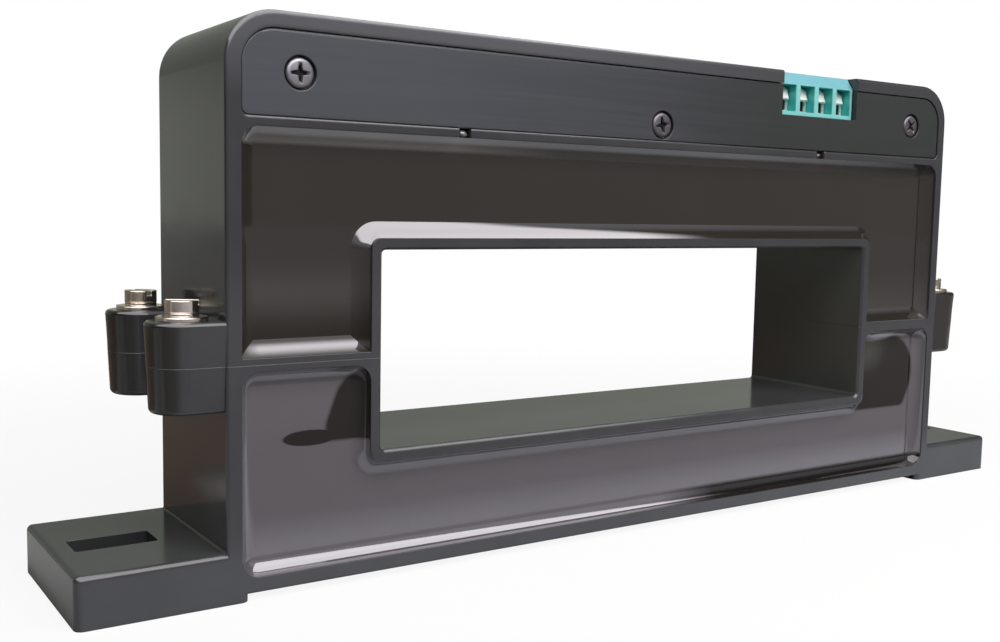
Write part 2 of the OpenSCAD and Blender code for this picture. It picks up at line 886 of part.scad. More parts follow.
// Clamp bolts and their washers, each from the parting plane at its lug

module clamp_bolt(side, end, slot_turn) {
    seat = lug_h + flat_washer_t + spring_washer_t;
    color("#d3cec4") at_lug(side, end) difference() {
        union() {
            translate([0, 0, -bolt_reach]) cylinder(d = bolt_d, h = bolt_reach + seat + 0.5);
            translate([0, 0, seat]) cylinder(d = bolt_head_d, h = bolt_head_h);
        }
        translate([0, 0, seat + bolt_head_h - bolt_slot_d]) rotate(slot_turn)
            translate([-bolt_head_d, -bolt_slot_w / 2, 0]) cube([2 * bolt_head_d, bolt_slot_w, 2]);
    }
}

module spring_washer(side, end) {
    color("#c6c1b7") at_lug(side, end) translate([0, 0, lug_h + flat_washer_t]) difference() {
        cylinder(d = spring_washer_d, h = spring_washer_t);
        translate([0, 0, -cut]) cylinder(d = bolt_hole_d, h = 3);
        translate([0, -spring_split / 2, -cut]) cube([spring_washer_d, spring_split, 3]);
    }
}

module flat_washer(side, end) {
    color("#cfcac0") at_lug(side, end) translate([0, 0, lug_h]) difference() {
        cylinder(d = flat_washer_d, h = flat_washer_t);
        translate([0, 0, -cut]) cylinder(d = bolt_hole_d, h = 3);
    }
}

// Brass insert with a waist, pressed into a lower lug
module thread_insert(side, end) {
    waist_l = 2;
    color("#b08d45") at_lug(side, end) translate([0, 0, -insert_l]) difference() {
        cylinder(d = insert_d, h = insert_l);
        translate([0, 0, -cut]) cylinder(d = bolt_d + 2 * thread_fit, h = insert_l + 2 * cut);
        translate([0, 0, (insert_l - waist_l) / 2]) difference() {
            cylinder(d = insert_d + cut, h = waist_l);
            cylinder(d = insert_d - 0.6, h = waist_l);
        }
    }
}

upper_housing();
lower_housing();
terminal_cover();
upper_potting();
lower_potting();
upper_core();
lower_core();
hall_element_left();
hall_element_right();
hall_board_left();
hall_board_right();
hall_lead_left();
hall_lead_right();
circuit_board();
amplifier_chip();
voltage_regulator();
gain_trimmer();
offset_trimmer();
smoothing_capacitor_left();
smoothing_capacitor_right();
signal_resistors();
terminal_block();
terminal_clamps();
terminal_screws();
cover_screw_left();
cover_screw_middle();
cover_screw_right();
clamp_bolt(-1, -1, 30);  // clamp_bolt_left_front
clamp_bolt(-1, 1, 75);  // clamp_bolt_left_rear
clamp_bolt(1, -1, 110);  // clamp_bolt_right_front
clamp_bolt(1, 1, 15);  // clamp_bolt_right_rear
spring_washer(-1, -1);  // spring_washer_left_front
spring_washer(-1, 1);  // spring_washer_left_rear
spring_washer(1, -1);  // spring_washer_right_front
spring_washer(1, 1);  // spring_washer_right_rear
flat_washer(-1, -1);  // flat_washer_left_front
flat_washer(-1, 1);  // flat_washer_left_rear
flat_washer(1, -1);  // flat_washer_right_front
flat_washer(1, 1);  // flat_washer_right_rear
thread_insert(-1, -1);  // thread_insert_left_front
thread_insert(-1, 1);  // thread_insert_left_rear
thread_insert(1, -1);  // thread_insert_right_front
thread_insert(1, 1);  // thread_insert_right_rear
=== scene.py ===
import math
import bpy
import bmesh
from mathutils import Matrix, Vector


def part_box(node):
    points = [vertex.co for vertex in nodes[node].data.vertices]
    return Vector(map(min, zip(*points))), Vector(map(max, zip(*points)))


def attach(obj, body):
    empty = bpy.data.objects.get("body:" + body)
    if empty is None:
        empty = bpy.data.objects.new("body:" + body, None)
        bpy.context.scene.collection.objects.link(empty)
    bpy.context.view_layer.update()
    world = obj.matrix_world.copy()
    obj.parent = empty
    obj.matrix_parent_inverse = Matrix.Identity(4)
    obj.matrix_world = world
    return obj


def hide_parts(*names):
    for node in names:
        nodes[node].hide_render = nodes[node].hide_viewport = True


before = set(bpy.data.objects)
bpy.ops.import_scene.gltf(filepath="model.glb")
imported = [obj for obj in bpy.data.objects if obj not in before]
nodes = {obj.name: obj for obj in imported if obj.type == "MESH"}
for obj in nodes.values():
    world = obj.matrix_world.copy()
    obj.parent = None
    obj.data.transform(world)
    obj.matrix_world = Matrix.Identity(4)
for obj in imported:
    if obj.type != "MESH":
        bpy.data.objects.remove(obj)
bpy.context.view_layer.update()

mm = 0.001


def hexColor(code):
    # sRGB hex to linear, with full alpha
    def linear(c):
        return c / 12.92 if c <= 0.04045 else ((c + 0.055) / 1.055) ** 2.4
    return tuple(linear(int(code[i:i + 2], 16) / 255) for i in (1, 3, 5)) + (1.0,)


def feed(tree, node, inputs):
    # each input is linked to a socket, or set to a hex colour or a plain value
    for name, value in inputs.items():
        if isinstance(value, bpy.types.NodeSocket):
            tree.links.new(value, node.inputs[name])
        else:
            node.inputs[name].default_value = hexColor(value) if isinstance(value, str) else value


def addNode(tree, kind, inputs=None, output=0, **settings):
    # one node with its settings and links; gives one of its outputs, or all of them for None
    node = tree.nodes.new("ShaderNode" + kind)
    for name, value in settings.items():
        setattr(node, name, value)
    feed(tree, node, inputs or {})
    return node.outputs if output is None else node.outputs[output]


def newMaterial(name):
    material = bpy.data.materials.new(name)
    material.use_nodes = True
    tree = material.node_tree
    place = addNode(tree, "TexCoord", output="Object")
    return material, tree, tree.nodes["Principled BSDF"], place


def axesOf(tree, vector):
    # X, Y and Z of a place or a direction, and its reach to either side of the middle
    axes = dict(addNode(tree, "SeparateXYZ", {"Vector": vector}, None).items())
    axes["reach"] = addNode(tree, "Math", {0: axes["X"]}, operation="ABSOLUTE")
    return axes


def fades(tree, axes, *ramps, times=1.0, unit=mm, kind="LINEAR"):
    # a value or mask times fades, each from 0 at one place along an axis to 1 at another
    for axis, start, full in ramps:
        ramp = addNode(tree, "MapRange", {"Value": axes[axis], "From Min": start * unit,
                                          "From Max": full * unit}, interpolation_type=kind)
        times = addNode(tree, "Math", {0: times, 1: ramp}, operation="MULTIPLY")
    return times


def inside(tree, axes, *limits, times=1.0, unit=mm):
    # a value or mask where each axis is between its two limits, and 0 elsewhere
    for axis, low, high in limits:
        for operation, limit in (("GREATER_THAN", low), ("LESS_THAN", high)):
            side = addNode(tree, "Math", {0: axes[axis], 1: limit * unit}, operation=operation)
            times = addNode(tree, "Math", {0: times, 1: side}, operation="MULTIPLY")
    return times


def paint(tree, color, *tints):
    # lays tints over a colour one after another, each where its mask is 1
    for mask, tint in tints:
        color = addNode(tree, "Mix", {0: mask, 6: color, 7: tint}, 2, data_type="RGBA")
    return color


def mottle(tree, place, size, detail, levels, colors):
    # two colours in clouds of noise, of a size in mm, between two levels of the noise; gives the noise too
    clouds = addNode(tree, "TexNoise", {"Vector": place, "Scale": 1 / (size * mm), "Detail": detail})
    share = addNode(tree, "MapRange", {"Value": clouds, "From Min": levels[0], "From Max": levels[1]})
    return paint(tree, colors[0], (share, colors[1])), clouds


# Camera, as solved from the photo's edges
view = {
    "place": (-199.6, -247.0, 84.0),  # mm, in the model's frame
    "yaw": -33.70,                    # degrees from +Y, to the right
    "pitch": -5.58,
    "roll": 1.06,
    "focal": 1142.8,                  # pixels, for an image
    "width": 1000,                    # of this width
    "sensor": 36,                     # mm
}


def addCamera():
    yaw, pitch, roll = (math.radians(view[key]) for key in ("yaw", "pitch", "roll"))
    forward = Vector((-math.sin(yaw) * math.cos(pitch), math.cos(yaw) * math.cos(pitch), math.sin(pitch)))
    level = Vector((math.cos(yaw), math.sin(yaw), 0))
    above = level.cross(forward)
    right = math.cos(roll) * level + math.sin(roll) * above
    up = -math.sin(roll) * level + math.cos(roll) * above
    camera = bpy.data.objects.new("camera", bpy.data.cameras.new("camera"))
    camera.data.sensor_width = view["sensor"]
    camera.data.lens = view["focal"] * view["sensor"] / view["width"]
    camera.data.clip_start = 0.01
    turn = Matrix((right, up, -forward)).transposed().to_4x4()
    camera.matrix_world = Matrix.Translation(Vector(view["place"]) * mm) @ turn
    bpy.context.scene.collection.objects.link(camera)
    bpy.context.scene.camera = camera


# Studio: one large soft light overhead, a white surround and a pale floor
# A ramp is an axis, where it starts and where it is full: in mm, or of a direction in the surround
studio = {
    "keyPlace": (150, -520, 560),     # mm
    "keySize": (900, 600),            # mm, along X and Y
    "keyPower": 9.8,                  # watts
    "fill": 0.09,                     # strength of the surround on matt surfaces
    "room": "#1c1b19",                # what gloss mirrors where nothing brighter stands
    # the walls before and behind the object: low and high colour, where the high one starts, and their side
    "walls": (
        ("#7c7878", "#cfd2dc", ("Z", 0.06, 0.2), ("Y", -0.3, -0.6)),
        ("#b6b9ae", "#90958a", ("Z", 0.06, 0.15), ("Y", 0.4, 0.6)),
    ),
    "panel": (5.3, 5.1, 5.3),         # mirrored light of the soft panel overhead
    "panelHeight": ("Z", 0.05, 0.1),
    # its edges as slopes from straight up: right, left, back and front
    "panelEdges": (("X", 0.98, 0.86), ("X", -1.9, -1.3), ("Y", 0.56, 0.44), ("Y", -2.9, -1.9)),
    "floor": "#e9e9e7",
    "white": (180, 420, 0.9, 1.0),    # mm from the middle, and how white the camera sees the floor there
    # the table that the object lights up by and mirrors, and what lies over it
    "table": "#7c7878",
    "tableTints": (
        ("#7a6a5c", ("Y", -20, 20)),                      # behind the object,
        ("#c9cbc2", ("Y", 300, 1200)),                    # far behind it
        ("#dfe2ea", ("Y", -20, -24), ("Y", -75, -50)),    # and close before its feet
    ),
    # beside the left foot, paler to the back
    "end": ("#bfc2be", "#f4f6f2", ("Y", 0, 50)),
    "endPlace": (("X", -146, -150), ("Y", 95, 75), ("Y", -40, -25)),
}


def addKey():
    light = bpy.data.lights.new("overheadPanel", "AREA")
    light.shape = "RECTANGLE"
    light.size, light.size_y = (s * mm for s in studio["keySize"])
    light.energy = studio["keyPower"]
    panel = bpy.data.objects.new("overheadPanel", light)
    panel.location = Vector(studio["keyPlace"]) * mm
    panel.visible_camera = False
    panel.visible_glossy = False
    bpy.context.scene.collection.objects.link(panel)


def addRoom():
    world = bpy.data.worlds.new("surround")
    bpy.context.scene.world = world
    world.use_nodes = True
    tree = world.node_tree
    path = addNode(tree, "LightPath", output=None)
    way = axesOf(tree, addNode(tree, "TexCoord", output="Generated"))
    # what gloss mirrors: a flat soft panel overhead, a lit front and back, a dim left side
    walls = studio["room"]
    for low, high, rise, side in studio["walls"]:
        wall = paint(tree, low, (fades(tree, way, rise, unit=1, kind="SMOOTHSTEP"), high))
        walls = paint(tree, walls, (fades(tree, way, side, unit=1, kind="SMOOTHSTEP"), wall))
    height = addNode(tree, "Math", {0: way["Z"], 1: 0.0001}, operation="MAXIMUM")  # never 0, for the slopes
    slopes = {axis: addNode(tree, "Math", {0: way[axis], 1: height}, operation="DIVIDE")
              for axis in ("X", "Y")}
    panel = fades(tree, way, studio["panelHeight"], unit=1)
    panel = fades(tree, slopes, *studio["panelEdges"], times=panel, unit=1, kind="SMOOTHSTEP")
    lit = addNode(tree, "VectorMath", {0: studio["panel"], "Scale": panel}, operation="SCALE")
    mirror = addNode(tree, "VectorMath", {0: walls, 1: lit}, operation="ADD")
    sharp = addNode(tree, "Math", {0: path["Is Glossy Ray"], 1: path["Is Transmission Ray"]},
                    operation="MAXIMUM")
    fill = (studio["fill"],) * 3 + (1,)
    light = paint(tree, fill, (sharp, mirror), (path["Is Camera Ray"], "#ffffff"))
    feed(tree, tree.nodes["Background"], {"Color": light, "Strength": 1.0})


def addFloor():
    # paper, which the camera sees lifted to white, fully so away from the object's shadow
    paper, tree, shader, place = newMaterial("floorPaper")
    part = axesOf(tree, place)
    seen = addNode(tree, "LightPath", output="Is Camera Ray")
    table = studio["table"]
    for tint, *ramps in studio["tableTints"]:
        table = paint(tree, table, (fades(tree, part, *ramps), tint))
    color, pale, toBack = studio["end"]
    end = paint(tree, color, (fades(tree, part, toBack), pale))
    table = paint(tree, table, (fades(tree, part, *studio["endPlace"]), end), (seen, studio["floor"]))
    feed(tree, shader, {"Base Color": table, "Roughness": 0.9})
    near, far, lifted, full = studio["white"]
    away = addNode(tree, "VectorMath", {0: place}, "Value", operation="LENGTH")
    lift = addNode(tree, "MapRange", {"Value": away, "From Min": near * mm, "From Max": far * mm,
                                      "To Min": lifted, "To Max": full}, interpolation_type="SMOOTHSTEP")
    share = addNode(tree, "Math", {0: seen, 1: lift}, operation="MULTIPLY")
    white = addNode(tree, "Emission", {"Color": "#ffffff", "Strength": 1.0})
    both = addNode(tree, "MixShader", {0: share, 1: shader.outputs[0], 2: white})
    feed(tree, tree.nodes["Material Output"], {"Surface": both})
    sheet = bmesh.new()
    bmesh.ops.create_grid(sheet, x_segments=1, y_segments=1, size=4)
    floor = bpy.data.objects.new("floor", bpy.data.meshes.new("floor"))
    sheet.to_mesh(floor.data)
    sheet.free()
    floor.data.materials.append(paper)
    bpy.context.scene.collection.objects.link(floor)


bpy.context.scene.view_settings.view_transform = "Standard"
addCamera()
addKey()
addRoom()
addFloor()
print("camera and studio ready")

# Moulded black housing: PBT polyester out of a fine spark-eroded mould, so satin with a faint grain
# A place is given by limits or by ramps of its axes in mm; reach is the distance from the middle along X
housingLook = {
    "colors": ("#3d3d3f", "#434345"),  # fresh and worn, in clouds
    "cloud": 18.2,                     # mm
    "roughness": (0.09, 0.19),         # from fresh to worn
    "grain": 0.35,                     # mm
    "edge": 0.2,                       # rounding of the sharp edges, mm
    # worn rims, by their rounding and limits: the window's sill, and the shelf below the cover
    "wornRims": (
        (0.9, ("reach", -1, 84), ("Z", 26.9, 29.8)),
        (0.8, ("reach", -1, 113.6), ("Z", 98.9, 102.3)),
    ),
    "sheenTowardLeft": "#58585d",               # painted sheen: the front of the top rim, painted paler as a highlight and round toward the left end:
    "topRim": (("X", 60, -40), ("Z", 106, 120)),
    "topFront": ("Y", -25, -21.2),
    "topRound": 1.1,                   # mm
    "noseDarkReflection": "#2b2b29",             # painted dark reflection on the noses of the lugs, as their faces turn toward an end
    "nose": ("reach", 0.25, 0.45),     # of the direction that a face points in
    "lugs": (("reach", 117.4, 150), ("Z", 30, 125)),
    "windowEndReflection": "#4b4d47",               # painted reflection on the ends of the window, which face along X
    "faceAlong": ("reach", 0.8, 2),
    "windowEnds": (("reach", 80.0, 82.5), ("Z", 29.5, 75.0)),
    "seam": (("X", -117.7, -116.3), ("Z", 10.6, 12.0)),  # dull, where the left foot meets the side
    "shine": (0.5, 0.3),               # specular level, and that of the seam
}


def housingMaterial():
    look = housingLook
    material, tree, shader, place = newMaterial("mouldedPbtBlack")
    part = axesOf(tree, place)
    facing = axesOf(tree, addNode(tree, "NewGeometry", output="Normal"))
    color, clouds = mottle(tree, place, look["cloud"], 4, (0.35, 0.75), look["colors"])
    edge = look["edge"] * mm
    for rounding, *limits in look["wornRims"]:
        rim = inside(tree, part, *limits, times=rounding * mm)
        edge = addNode(tree, "Math", {0: edge, 1: rim}, operation="MAXIMUM")
    top = fades(tree, part, *look["topRim"], times=inside(tree, part, look["topFront"]))
    rim = addNode(tree, "Math", {0: top, 1: look["topRound"] * mm}, operation="MULTIPLY")
    edge = addNode(tree, "Math", {0: edge, 1: rim}, operation="MAXIMUM")
    # the right lugs count as nose all round, since little of them shows
    nose = addNode(tree, "Math", {0: fades(tree, facing, look["nose"], unit=1),
                                  1: inside(tree, part, ("X", 0, 150))}, operation="MAXIMUM")
    nose = inside(tree, part, *look["lugs"], times=nose)
    end = inside(tree, part, *look["windowEnds"], times=inside(tree, facing, look["faceAlong"], unit=1))
    # painted light: a sheen on the top rim, a dark reflection on the lug noses and a reflection on the window
    # ends
    color = paint(tree, color, (top, look["sheenTowardLeft"]), (nose, look["noseDarkReflection"]), (end, look["windowEndReflection"]))
    rough = addNode(tree, "MapRange", {"Value": clouds, "From Min": 0.3, "From Max": 0.7,
                                       "To Min": look["roughness"][0], "To Max": look["roughness"][1]})
    shine = addNode(tree, "MapRange", {"Value": inside(tree, part, *look["seam"]),
                                       "To Min": look["shine"][0], "To Max": look["shine"][1]})
    grain = addNode(tree, "TexNoise", {"Vector": place, "Scale": 1 / (look["grain"] * mm), "Detail": 2})
    soft = addNode(tree, "Bevel", {"Radius": edge}, samples=8)
    bump = addNode(tree, "Bump", {"Height": grain, "Strength": 0.25, "Distance": 0.03 * mm, "Normal": soft})
    feed(tree, shader, {"Base Color": color, "Roughness": rough, "Specular IOR Level": shine, "Normal": bump})
    return material


# Cover: the same plastic pressed in a drawn tool, with fine streaks along its length
coverLook = {
    "colors": ("#38383b", "#444548"),  # ground and streaks
    "streak": (50, 1.111),             # length and width, mm
    # painted reflection: paler toward the left end and darker toward the right, by how much and where
    "tints": (("#51545a", 0.6, ("X", 20, -70)), ("#2f322f", 0.8, ("X", 0, 42))),
    "roughness": 0.30,
    "edge": 0.3,                       # rounding, mm,
    "topRound": 0.9,                   # and of the top edge, rubbed toward the left end
    "topReach": ("X", 60, -40),
    "topDepth": (1.2, 1.0),            # mm below the top, from 0 to full
}


def coverMaterial():
    look = coverLook
    material, tree, shader, place = newMaterial("streakedPbtCover")
    part = axesOf(tree, place)
    length, width = look["streak"]
    along = addNode(tree, "Mapping", {"Vector": place, "Scale": (width / length, 1, 1)})
    color, streaks = mottle(tree, along, width, 5, (0.4, 0.75), look["colors"])
    # painted reflection, paler to the left and darker to the right
    for tint, most, ramp in look["tints"]:
        color = paint(tree, color, (fades(tree, part, ramp, times=most), tint))
    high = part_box("terminal_cover")[1].z / mm
    top = ("Z", high - look["topDepth"][0], high - look["topDepth"][1])
    sheenTowardLeft = fades(tree, part, look["topReach"], top, times=look["topRound"] * mm)
    edge = addNode(tree, "Math", {0: sheenTowardLeft, 1: look["edge"] * mm}, operation="MAXIMUM")
    soft = addNode(tree, "Bevel", {"Radius": edge}, samples=8)
    bump = addNode(tree, "Bump", {"Height": streaks, "Strength": 0.3, "Distance": 0.05 * mm, "Normal": soft})
    feed(tree, shader, {"Base Color": color, "Roughness": look["roughness"], "Normal": bump})
    return material


# Potting resin: cast black-brown epoxy, mirror smooth, dished a little between its walls
resinLook = {
    "upper": ("#2d2925", "#302c28"),   # depth and haze of the upper cast,
    "lower": ("#565155", "#595458"),   # and of the lower one, painted paler as a reflection of the pale table
    "cloud": 25,                       # mm
    "wave": 45.5,                      # mm
    "roughness": 0.045,
    "ior": 1.57,                       # epoxy
    # painted dark reflection, where the lower cast mirrors dark surroundings: ellipses by middle (X, Z), half
    # axes, turn in degrees and lowest Z, in mm, and a stretch along the bottom
    "clear": "#1c1917",
    "darkReflectionPlaces": (
        (-84.5, 36.0, 8.4, 12.8, 10, 32.2),
        (-97.0, 33.4, 6.5, 1.7, 0, 31.0),
        (92.0, 35.0, 17.0, 12.0, 0, 24.4),
        (100.0, 34.5, 10.5, 12.5, 0, 24.4),
    ),
    "darkReflectionBottom": (("X", 5, 25), ("Z", 9.0, 8.0)),
    "darkReflectionShine": 0.4,                 # specular level there
    "rim": 1.2,                        # where their soft rims end, in half axes,
    "ragged": (11.1, 0.25),            # and the size (mm) and share of the noise that makes them ragged
    "reflectionPatches": (                         # painted reflection: other tints of the right dark place, as the same kind of ellipses
        ("#3c3d37", (86.5, 43.0, 13.0, 8.5, 0, 0)),
        ("#8a8a8e", (94.0, 47.0, 8.0, 1.5, -6, 0)),
    ),
    # the upper cast's shelf by the parting line, which shines only along its middle
    "shelf": ("Z", 68, 56),
    "shelfEnd": ("X", -150, -80),
    "shineAlong": ("X", -112.5, -109.0),
    "shineAcross": (("Z", 52.0, 53.6), ("Z", 55.1, 53.7)),
    "dullShine": 0.12,                 # specular level beside it and in the far top corner,
    # painted sheen: the far top corner is painted paler in place of its reflection
    "corner": "#403c39",
    "cornerPlace": (("X", 30, 100), ("Z", 95.0, 97.0)),
    "rise": "#6b6763",                 # and a painted highlight where the upper cast rises up the wall below the cover
    "risePlace": (("X", -30, -62), ("Z", 96.7, 97.4)),
}


def placeMask(tree, place, places, soft=0.15):
    # 1 inside any of the places, with a soft and slightly ragged rim
    part = axesOf(tree, place)
    (size, share), rim = resinLook["ragged"], resinLook["rim"]
    ragged = addNode(tree, "TexNoise", {"Vector": place, "Scale": 1 / (size * mm), "Detail": 2})
    mask = 0.0
    for x, z, halfX, halfZ, turn, low in places:
        local = addNode(tree, "Mapping", {
            "Vector": place, "Location": (x * mm, 0, z * mm), "Rotation": (0, math.radians(turn), 0),
            "Scale": (halfX * mm, 1e6, halfZ * mm)}, vector_type="TEXTURE")
        reach = addNode(tree, "VectorMath", {0: local}, "Value", operation="LENGTH")
        reach = addNode(tree, "Math", {0: ragged, 1: share, 2: reach}, operation="MULTIPLY_ADD")
        spot = fades(tree, {"reach": reach}, ("reach", rim, rim - soft), unit=1, kind="SMOOTHSTEP")
        spot = fades(tree, part, ("Z", low - 0.4, low + 0.4), times=spot)
        mask = addNode(tree, "Math", {0: mask, 1: spot}, operation="MAXIMUM")
    return mask


def lowerResin(tree, place, part, color):
    # colour and specular level: painted paler as the table's reflection, but painted dark in the places of
    # dark reflection
    look = resinLook
    clear = addNode(tree, "Math", {0: placeMask(tree, place, look["darkReflectionPlaces"]),
                                   1: fades(tree, part, *look["darkReflectionBottom"])}, operation="MAXIMUM")
    # painted dark reflection
    color = paint(tree, color, (clear, look["clear"]))
    for tint, patch in look["reflectionPatches"]:
        color = paint(tree, color, (placeMask(tree, place, [patch], 0.8), tint))
    return color, addNode(tree, "MapRange", {"Value": clear, "To Min": 1.0, "To Max": look["darkReflectionShine"]})


def upperResin(tree, part, color):
    # colour and specular level, dull beside the shelf's middle and in the far top corner, with painted
    # highlights in that corner and up the wall below the cover
    look = resinLook
    shine = fades(tree, part, look["shineAlong"])
    shine = fades(tree, part, *look["shineAcross"], times=shine, kind="SMOOTHSTEP")
    beside = addNode(tree, "Math", {0: 1.0, 1: shine}, operation="SUBTRACT")
    shelf = inside(tree, part, look["shelfEnd"], times=beside)
    shelf = fades(tree, part, look["shelf"], times=shelf, kind="SMOOTHSTEP")
    corner = fades(tree, part, *look["cornerPlace"])
    dull = addNode(tree, "Math", {0: shelf, 1: corner}, operation="MAXIMUM")
    rise = fades(tree, part, *look["risePlace"])
    color = paint(tree, color, (corner, look["corner"]), (rise, look["rise"]))
    return color, addNode(tree, "MapRange", {"Value": dull, "To Min": 1.0, "To Max": look["dullShine"]})


def resinMaterial(name):
    look = resinLook
    material, tree, shader, place = newMaterial(name + "CastEpoxy")
    part = axesOf(tree, place)
    color, clouds = mottle(tree, place, look["cloud"], 3, (0.3, 0.7), look[name])
    if name == "lower":
        color, shine = lowerResin(tree, place, part, color)
    else:
        color, shine = upperResin(tree, part, color)
    wave = addNode(tree, "TexNoise", {"Vector": place, "Scale": 1 / (look["wave"] * mm), "Detail": 1})
    bump = addNode(tree, "Bump", {"Height": wave, "Strength": 0.5, "Distance": 0.04 * mm})
    feed(tree, shader, {"Base Color": color, "Roughness": look["roughness"], "IOR": look["ior"],
                        "Specular IOR Level": shine, "Normal": bump})
    return material


# Terminal block: teal polyamide, satin and a little waxy
terminalLook = {
    "colors": ("#3fb8b3", "#4fc6c1"),
    "cloud": 5.56,                     # mm
    "front": "#86d0cd",                # the front edges of the cells, painted lighter where the light falls on them,
    "frontDepth": 0.25,                # mm
    "slope": "#6daab4",                # and the sloped band above them, painted paler and bluer where it faces up, as a sheen
    "slopeFacing": ("Z", 0.3, 0.5),
    "slopeDepth": 4.5,                 # mm below the top
    "roughness": 0.36,
    "grain": 0.25,                     # mm
    "edge": 0.25,                      # mm
    "waxy": 0.3,                       # share of the light that enters, and how deep it goes
    "waxyDepth": (0.4, 0.8, 0.8),      # mm, for red, green and blue
}


def terminalMaterial():
    look = terminalLook
    material, tree, shader, place = newMaterial("polyamideTeal")
    part = axesOf(tree, place)
    facing = axesOf(tree, addNode(tree, "NewGeometry", output="Normal"))
    low, high = (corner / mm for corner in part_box("terminal_block"))
    color, clouds = mottle(tree, place, look["cloud"], 3, (0.3, 0.7), look["colors"])
    front = inside(tree, part, ("Y", low.y - 1, low.y + look["frontDepth"]))
    slope = inside(tree, part, ("Z", high.z - look["slopeDepth"], high.z + 1))
    slope = fades(tree, facing, look["slopeFacing"], times=slope, unit=1)
    # painted light: lit front edges, and a sheen on the slope where it faces up
    color = paint(tree, color, (front, look["front"]), (slope, look["slope"]))
    soft = addNode(tree, "Bevel", {"Radius": look["edge"] * mm}, samples=4)
    grain = addNode(tree, "TexNoise", {"Vector": place, "Scale": 1 / (look["grain"] * mm), "Detail": 1})
    bump = addNode(tree, "Bump", {"Height": grain, "Strength": 0.2, "Distance": 0.02 * mm, "Normal": soft})
    feed(tree, shader, {"Base Color": color, "Roughness": look["roughness"], "Normal": bump,
                        "Subsurface Weight": look["waxy"],
                        "Subsurface Radius": [depth * mm for depth in look["waxyDepth"]]})
    return material


# Plated and oxidised metals: bright and dull colour in clouds, roughness, width of the scratches (mm), how
# metallic the surface is under its oxide or tarnish, and rounding of its edges (mm)
metalLook = {
    "brightTin": (("#f4f3ee", "#dcdad2"), 0.26, 0.278, 0.5, 0.15),    # terminal clamps and screws
    "paleLitTin": (("#ffffff", "#f3f1e6"), 0.3, 0.278, 0.1, 0.2),       # contact leaves, painted white and nearly matt so that they show bright, as if lit
    "warmNickel": (("#e6e0d6", "#c2b7a4"), 0.13, 0.357, 1.0, 0.4),    # clamp bolts and washers
    "zincGrey": (("#8f8d91", "#77757a"), 0.38, 0.3125, 0.6, 0.15),    # cover screws
    "turnedBrass": (("#c9a24f", "#9d7a35"), 0.28, 0.417, 1.0, 0.15),  # threaded inserts
}
cloudWidth = 12                        # scratches across a cloud
shadeAndDulling = {
    "screw": "#666165",                # the middle and right cover screws are duller,
    "screwPlace": ("X", -80, -20),
    "recess": "#262527",               # and every recess is painted dark, as shade
    "recessDepth": (0.5, 0.8),         # mm behind the head's face, from 0 to full
    "mouth": "#3a2c20",                # painted shade inside the clamps' mouths
    "mouthDepth": (0.1, 0.7),          # mm behind the clamps' front, from 0 to full
    "mouthHeight": (5.85, 2.95),       # its foot and top, mm below the clamps' top
}


def metalTints(tree, part, name):
    # the tints of a metal: duller screws, and painted shade in recesses and clamp mouths, as pairs of mask
    # and colour
    if name == "zincGrey":
        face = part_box("cover_screw_left")[0].y / mm
        start, full = shadeAndDulling["recessDepth"]
        return ((fades(tree, part, shadeAndDulling["screwPlace"]), shadeAndDulling["screw"]),
                (fades(tree, part, ("Y", face + start, face + full)), shadeAndDulling["recess"]))
    if name == "brightTin":
        low, high = (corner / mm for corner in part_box("terminal_clamps"))
        start, full = shadeAndDulling["mouthDepth"]
        foot, top = shadeAndDulling["mouthHeight"]
        mouth = inside(tree, part, ("Z", high.z - foot, high.z - top))
        return ((fades(tree, part, ("Y", low.y + start, low.y + full), times=mouth), shadeAndDulling["mouth"]),)
    return ()


def metalMaterial(name):
    colors, rough, scratch, metallic, edge = metalLook[name]
    material, tree, shader, place = newMaterial(name)
    color, clouds = mottle(tree, place, scratch * cloudWidth, 3, (0.35, 0.7), colors)
    color = paint(tree, color, *metalTints(tree, axesOf(tree, place), name))
    fine = addNode(tree, "TexNoise", {"Vector": place, "Scale": 1 / (scratch * mm), "Detail": 2})
    soft = addNode(tree, "Bevel", {"Radius": edge * mm}, samples=4)
    bump = addNode(tree, "Bump", {"Height": fine, "Strength": 0.3, "Distance": 0.02 * mm, "Normal": soft})
    uneven = addNode(tree, "MapRange", {"Value": clouds, "From Min": 0.3, "From Max": 0.7,
                                        "To Min": rough - 0.05, "To Max": rough + 0.12})
    feed(tree, shader, {"Base Color": color, "Roughness": uneven, "Metallic": metallic, "Normal": bump})
    return material


# Core: strip of grain-oriented steel wound round the window, so its edges show as fine parallel lines
coreLook = {
    "color": "#9a9c9f",
    "edge": "#5d6064",
    "strip": 0.6,                      # mm, twice the real thickness, so that it shows
    "roughness": 0.38,
}


def coreMaterial():
    material, tree, shader, place = newMaterial("woundCoreSteel")
    part = axesOf(tree, place)
    low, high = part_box("lower_core")[0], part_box("upper_core")[1]
    middle = (low.z + high.z) / 2
    strip = coreLook["strip"] * mm
    # distance past the core's outline, below 0 inside it, which the turns of the strip follow
    across = addNode(tree, "Math", {0: part["reach"], 1: high.x}, operation="SUBTRACT")
    along = addNode(tree, "Math", {0: part["Z"], 1: middle}, operation="SUBTRACT")
    along = addNode(tree, "Math", {0: along}, operation="ABSOLUTE")
    along = addNode(tree, "Math", {0: along, 1: high.z - middle}, operation="SUBTRACT")
    depth = addNode(tree, "Math", {0: across, 1: along}, operation="MAXIMUM")
    turns = addNode(tree, "Math", {0: depth, 1: strip / 2}, operation="PINGPONG")
    line = addNode(tree, "MapRange", {"Value": turns, "From Max": strip / 4})
    bump = addNode(tree, "Bump", {"Height": line, "Strength": 0.4, "Distance": 0.1 * mm})
    feed(tree, shader, {"Base Color": paint(tree, coreLook["edge"], (line, coreLook["color"])),
                        "Metallic": 1.0, "Roughness": coreLook["roughness"], "Normal": bump})
    return material


